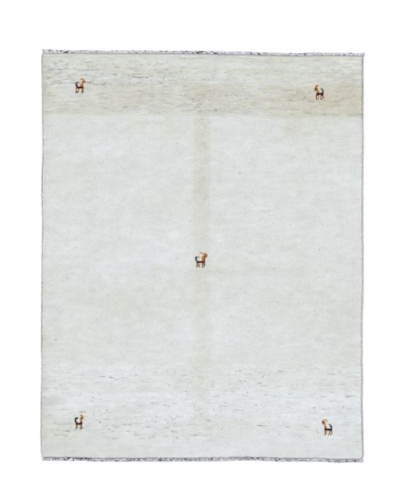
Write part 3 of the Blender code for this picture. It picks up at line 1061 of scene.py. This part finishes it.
def overcast_selvedge(context, name, side):
    """The cord down one side, wrapped turn by turn."""
    edging, wools = context.scene.rug_edging, context.scene.rug_wools
    rng = np.random.default_rng(edging.seed + (2 if side > 0 else 1))
    around, rings = 8, 2 * edging.wraps + 1
    row = np.linspace(0.0, CLOTH_LENGTH, rings)
    x, y = cloth_place(np.full(rings, CLOTH_WIDTH if side > 0 else 0.0), row)
    wrap = 1.0 + 0.05 * rng.standard_normal(edging.wraps)
    swell = np.empty(rings)
    swell[1::2] = wrap
    swell[0::2] = 1.0 - edging.wrap_depth + 0.02 * rng.standard_normal(edging.wraps + 1)
    swell *= np.interp(np.minimum(row, CLOTH_LENGTH - row), [0.0, 0.004], [0.75, 1.0])
    half_width, half_height = SELVEDGE_WIDTH / 2, edging.selvedge_height / 2
    turn = np.arange(around) / around * math.tau
    out, up = np.cos(turn), np.sin(turn)
    up = np.where(up < 0, up * 0.96, up)
    middle = np.full(rings, half_height)
    centres = np.stack([x + side * (PIECE_GAP + half_width), y, middle], axis=1)
    sides = np.zeros((rings, around, 3))
    sides[..., 0] = side * half_width * swell[:, None] * out[None, :] * 0.97
    sides[..., 1] = edging.wrap_slant * up[None, :]
    ups = np.zeros((rings, around, 3))
    ups[..., 2] = half_height * swell[:, None] * up[None, :] * 0.98
    piece = finished(tube(centres, sides, ups), name)
    dark = 0.35 + 0.30 * wavering(rng, rings, 30)
    dark = np.clip(dark + 0.22 * rng.standard_normal(rings), 0, 1)
    light, deep = np.array(wools.overcast), np.array(wools.overcast_dark)
    shades = light + dark[:, None] * (deep - light)
    # Painted shade in the dips between turns
    shades[0::2] *= 0.90
    tint_rings(piece.data, shades)
    return piece


class RUG_OT_overcast_sides(Operator):
    """Overcasts both selvedges"""

    bl_idname = "rug.overcast_sides"
    bl_label = "Overcast the Sides"

    def execute(self, context):
        material = wool_material(
            "overcast_wool", dict(Fibre_scale=1500.0, Tuft_scale=500.0, Contrast=0.35),
            "Yarn twist", bump=0.5, distance=0.0006, sheen=0.15,
            Turns=1800.0, Plies=2.0, Depth=0.25,
        )
        for name, side in (("selvedge_left", -1), ("selvedge_right", 1)):
            piece = overcast_selvedge(context, f"overcast_{name}", side)
            piece.data.materials.append(material)
            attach(piece, "root")
            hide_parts(name)
        return {"FINISHED"}


# Yarn ends that stick out of the plaits: which end, x, how far out, how far along
LOOSE_ENDS = (
    (1, -0.7330, 0.0090, -0.0100), (1, -0.7080, 0.0070, 0.0070), (1, -0.6480, 0.0065, 0.0120),
    (1, -0.5200, 0.0060, -0.0090), (1, -0.3300, 0.0065, 0.0100), (1, -0.0900, 0.0060, -0.0120),
    (1, 0.1500, 0.0060, 0.0090), (1, 0.5190, 0.0105, 0.0030), (1, 0.6810, 0.0115, -0.0040),
    (1, 0.7450, 0.0080, 0.0120), (-1, -0.7350, 0.0070, -0.0100), (-1, -0.4100, 0.0060, 0.0110),
    (-1, 0.0400, 0.0070, -0.0090), (-1, 0.3900, 0.0060, 0.0100), (-1, 0.7360, 0.0080, 0.0110),
)


# The plaits: name, which end, start and finish x, bulk at the start, slack, how grey each strand
# is, and the x and reach of each stretch with more dark yarn
PLAITS = (
    (
        "end_braid_top", 1, -0.7450, 0.7565, 1.44, 0.0,
        (0.42, 0.31, 0.35), ((-0.655, 0.09), (-0.010, 0.10)),
    ),
    ("end_braid_bottom", -1, -0.7470, 0.7500, 1.10, 0.0012, (0.76, 0.58, 0.64), ((-0.600, 0.09),)),
)
WHIP_RINGS = 43
LOOSE_RINGS = 12


def rug_edge(x, end):
    """The y of the cloth's end at each x."""
    column = np.clip(x - SHIFT_X + CLOTH_WIDTH / 2, 0.0, CLOTH_WIDTH)
    return cloth_place(column, np.full(len(x), CLOTH_LENGTH if end > 0 else 0.0))[1]


def plait_shades(wools, share):
    """The colour of plaited yarn: pale at 0, grey at 1 and dark beyond."""
    lots = ("light", "grey", "dark")
    light, grey, dark = (np.array(getattr(wools, f"plait_{lot}")) for lot in lots)
    shades = light + np.clip(share, 0, 1)[:, None] * (grey - light)
    return shades + (np.clip(share - 0.80, 0, 0.6) / 0.6)[:, None] * (dark - shades)


def plaited_end(context, name, end, start_x, finish_x, start_bulk, slack, greyness, dark_at):
    """Three strands of warp ends plaited flat along one end and whipped at both tips.

    slack is how far the plait lies from the cloth's own edge, greyness how grey each strand is, and
    dark_at the x and the reach of each stretch with more dark yarn in it.
    """
    edging, wools = context.scene.rug_edging, context.scene.rug_wools
    rng = np.random.default_rng(edging.seed + 20 + end)
    rings = round((finish_x - start_x) / edging.plait_period * edging.rings_a_period) + 1
    around = 8
    x = np.linspace(start_x, finish_x, rings) + SHIFT_X
    edge = rug_edge(x, end)
    closing = eased(np.minimum(x - x[0], x[-1] - x), -0.004, 0.024)
    bulk = 1 + (start_bulk - 1) * np.exp(-(((x - x[0]) / 0.030) ** 2))
    swing = bulk * edging.plait_swing * (0.35 + 0.65 * closing)
    swing *= 1 + 0.10 * wavering(rng, rings, 8)
    phase = math.tau * (x - x[0]) / edging.plait_period + 0.5 * wavering(rng, rings, 40)
    angle = np.arange(around) / around * math.tau
    parts, shades = [], []
    for strand, grey in enumerate(greyness):
        turn = phase + math.tau * strand / 3
        out = bulk * BRAID_WIDTH / 2 + slack + swing * np.sin(turn)
        rise = edging.plait_lift * (1 + np.sin(2 * turn)) * (0.4 + 0.6 * closing)
        lift = 1.05 * edging.strand_height + rise
        thick = (0.78 + 0.22 * closing) * (1 + 0.07 * wavering(rng, rings, 2))
        centres = np.stack([x, edge + end * (PIECE_GAP + out), lift], axis=1)
        across, over = frames(centres, (0.0, 0.0, 1.0))
        lobes = 1 + 0.10 * np.cos(2 * angle[None, :] + math.tau * (x - x[0])[:, None] / 0.012)
        wide = (across * (edging.strand_width * thick * bulk)[:, None])[:, None, :]
        high = (over * (edging.strand_height * thick)[:, None])[:, None, :]
        sides = wide * (lobes * np.cos(angle)[None, :])[..., None]
        ups = high * (lobes * np.sin(angle)[None, :])[..., None]
        parts.append(tube(centres, sides, ups, strand * rings))
        darker = sum(patch(x, 0.0, at_x, 0.0, reach, 1.0) for at_x, reach in dark_at)
        share = grey + 0.10 * darker + 0.10 * wavering(rng, rings, 9)
        share += (0.33 + 0.36 * darker) * wavering(rng, rings, 1)
        shades.append(plait_shades(wools, np.clip(share, 0, 1.4)))
    turns = np.linspace(0, 3.5 * math.tau, WHIP_RINGS)
    for tip, inward in ((x[0], 1), (x[-1], -1)):
        along = tip + inward * (0.0060 + 0.0016 * turns / math.tau)
        reach = slack + BRAID_WIDTH / 2 * (start_bulk if inward > 0 else 1)
        middle = rug_edge(along, end) + end * (PIECE_GAP + reach)
        path = np.stack(
            [along, middle + 0.0052 * np.cos(turns), 0.0050 + 0.0043 * np.sin(turns)], axis=1
        )
        radii = np.full(WHIP_RINGS, YARN_RADIUS)
        parts.append(yarn(path, radii, (1.0, 0.0, 0.0), sum(map(len, shades))))
        shades.append(plait_shades(wools, np.full(WHIP_RINGS, 0.35)))
    piece = gathered(parts, name)
    tint_rings(piece.data, np.concatenate(shades))
    return piece


def loose_ends(context):
    """The yarn ends that have worked loose from both plaits and lie on the floor."""
    wools = context.scene.rug_wools
    rng = np.random.default_rng(context.scene.rug_edging.seed + 40)
    parts, shades = [], []
    for end, at_x, out, drift in LOOSE_ENDS:
        along = np.linspace(0, 1, LOOSE_RINGS)
        x = at_x + SHIFT_X + drift * along ** 1.5 + 0.0012 * np.sin(5 * along + at_x * 40)
        y = rug_edge(x, end) + end * (PIECE_GAP + 0.0090 + (0.0050 + out) * along)
        z = YARN_RADIUS + 0.0042 * (1 - eased(along, 0.0, 0.55))
        radii = YARN_RADIUS * (1 - 0.45 * along ** 2)
        path = np.stack([x, y, z], axis=1)
        parts.append(yarn(path, radii, (0.0, 0.0, 1.0), sum(map(len, shades))))
        shades.append(plait_shades(wools, np.full(LOOSE_RINGS, rng.uniform(0.1, 0.9))))
    piece = gathered(parts, "plait_loose_ends")
    tint_rings(piece.data, np.concatenate(shades))
    return piece


class RUG_OT_plait_ends(Operator):
    """Plaits the warp ends into a flat cord at each end"""

    bl_idname = "rug.plait_ends"
    bl_label = "Plait the Ends"

    def execute(self, context):
        material = wool_material(
            "plaited_warp", dict(Fibre_scale=1300.0, Tuft_scale=420.0, Contrast=0.40),
            "Yarn twist", distance=0.0007, sheen=0.15,
            Turns=230.0, Plies=3.0, Depth=0.35,
        )
        for name, end, *run in PLAITS:
            piece = plaited_end(context, f"plait_{name}", end, *run)
            piece.data.materials.append(material)
            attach(piece, "root")
            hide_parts(name)
        piece = loose_ends(context)
        piece.data.materials.append(material)
        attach(piece, "root")
        return {"FINISHED"}


class RUG_OT_set_studio(Operator):
    """Sets the pale floor, the soft light and the camera overhead"""

    bl_idname = "rug.set_studio"
    bl_label = "Set the Studio"

    def execute(self, context):
        studio, scene = context.scene.rug_studio, context.scene
        scene.view_settings.view_transform = "Standard"
        bm = bmesh.new()
        bmesh.ops.create_grid(bm, x_segments=1, y_segments=1, size=studio.floor_size / 2)
        bmesh.ops.translate(bm, verts=bm.verts, vec=(0.0, 0.0, -0.0005))
        floor = finished(bm, "studio_floor")
        material = bpy.data.materials.new("pale_floor")
        material.use_nodes = True
        shader = material.node_tree.nodes["Principled BSDF"]
        shader.inputs["Base Color"].default_value = (0.93, 0.93, 0.93, 1.0)
        shader.inputs["Roughness"].default_value = 0.9
        shader.inputs["Specular IOR Level"].default_value = 0.1
        floor.data.materials.append(material)

        world = bpy.data.worlds.new("studio_sky")
        world.use_nodes = True
        sky = world.node_tree.nodes["Background"]
        sky.inputs["Color"].default_value = (1.0, 1.0, 1.0, 1.0)
        sky.inputs["Strength"].default_value = studio.sky
        scene.world = world

        lamp = bpy.data.lights.new("soft_key", "SUN")
        lamp.angle = math.radians(50)
        lamp.energy = studio.key
        soft_key = bpy.data.objects.new("soft_key", lamp)
        soft_key.location = (-1.8, 2.0, 3.9)
        soft_key.rotation_mode = "QUATERNION"
        soft_key.rotation_quaternion = (-Vector(soft_key.location)).to_track_quat("-Z", "Y")
        scene.collection.objects.link(soft_key)

        lens = bpy.data.cameras.new("overhead")
        lens.sensor_width = 36.0
        lens.lens = lens.sensor_width * studio.camera_height / studio.view_height
        lens.clip_end = 200.0
        camera = bpy.data.objects.new("overhead", lens)
        camera.location = (studio.look_x, studio.look_y, studio.camera_height)
        scene.collection.objects.link(camera)
        scene.camera = camera
        return {"FINISHED"}


class RUG_PT_sidebar(Panel):
    """The rug's steps, in order"""

    bl_idname = "RUG_PT_sidebar"
    bl_label = "Gabbeh Rug"
    bl_space_type = "VIEW_3D"
    bl_region_type = "UI"
    bl_category = "Rug"

    def draw(self, context):
        for group in (
            context.scene.rug_knotting,
            context.scene.rug_wools,
            context.scene.rug_edging,
            context.scene.rug_studio,
        ):
            box = self.layout.box()
            for name in group.__annotations__:
                box.prop(group, name)
        for step in STEPS:
            self.layout.operator(step.bl_idname)


GROUPS = {
    "rug_knotting": RugKnotting,
    "rug_wools": RugWools,
    "rug_edging": RugEdging,
    "rug_studio": RugStudio,
}
STEPS = (
    RUG_OT_weave_ground,
    RUG_OT_knot_pile,
    RUG_OT_overcast_sides,
    RUG_OT_plait_ends,
    RUG_OT_set_studio,
)


def register():
    for kind in (*GROUPS.values(), *STEPS, RUG_PT_sidebar):
        bpy.utils.register_class(kind)
    for name, kind in GROUPS.items():
        setattr(bpy.types.Scene, name, PointerProperty(type=kind))


def unregister():
    for name in GROUPS:
        delattr(bpy.types.Scene, name)
    for kind in (RUG_PT_sidebar, *reversed(STEPS), *reversed(GROUPS.values())):
        bpy.utils.unregister_class(kind)


def main():
    """Makes the whole rug."""
    register()
    bpy.ops.rug.weave_ground()
    bpy.ops.rug.knot_pile()
    bpy.ops.rug.overcast_sides()
    bpy.ops.rug.plait_ends()
    bpy.ops.rug.set_studio()


if __name__ == "__main__":
    main()
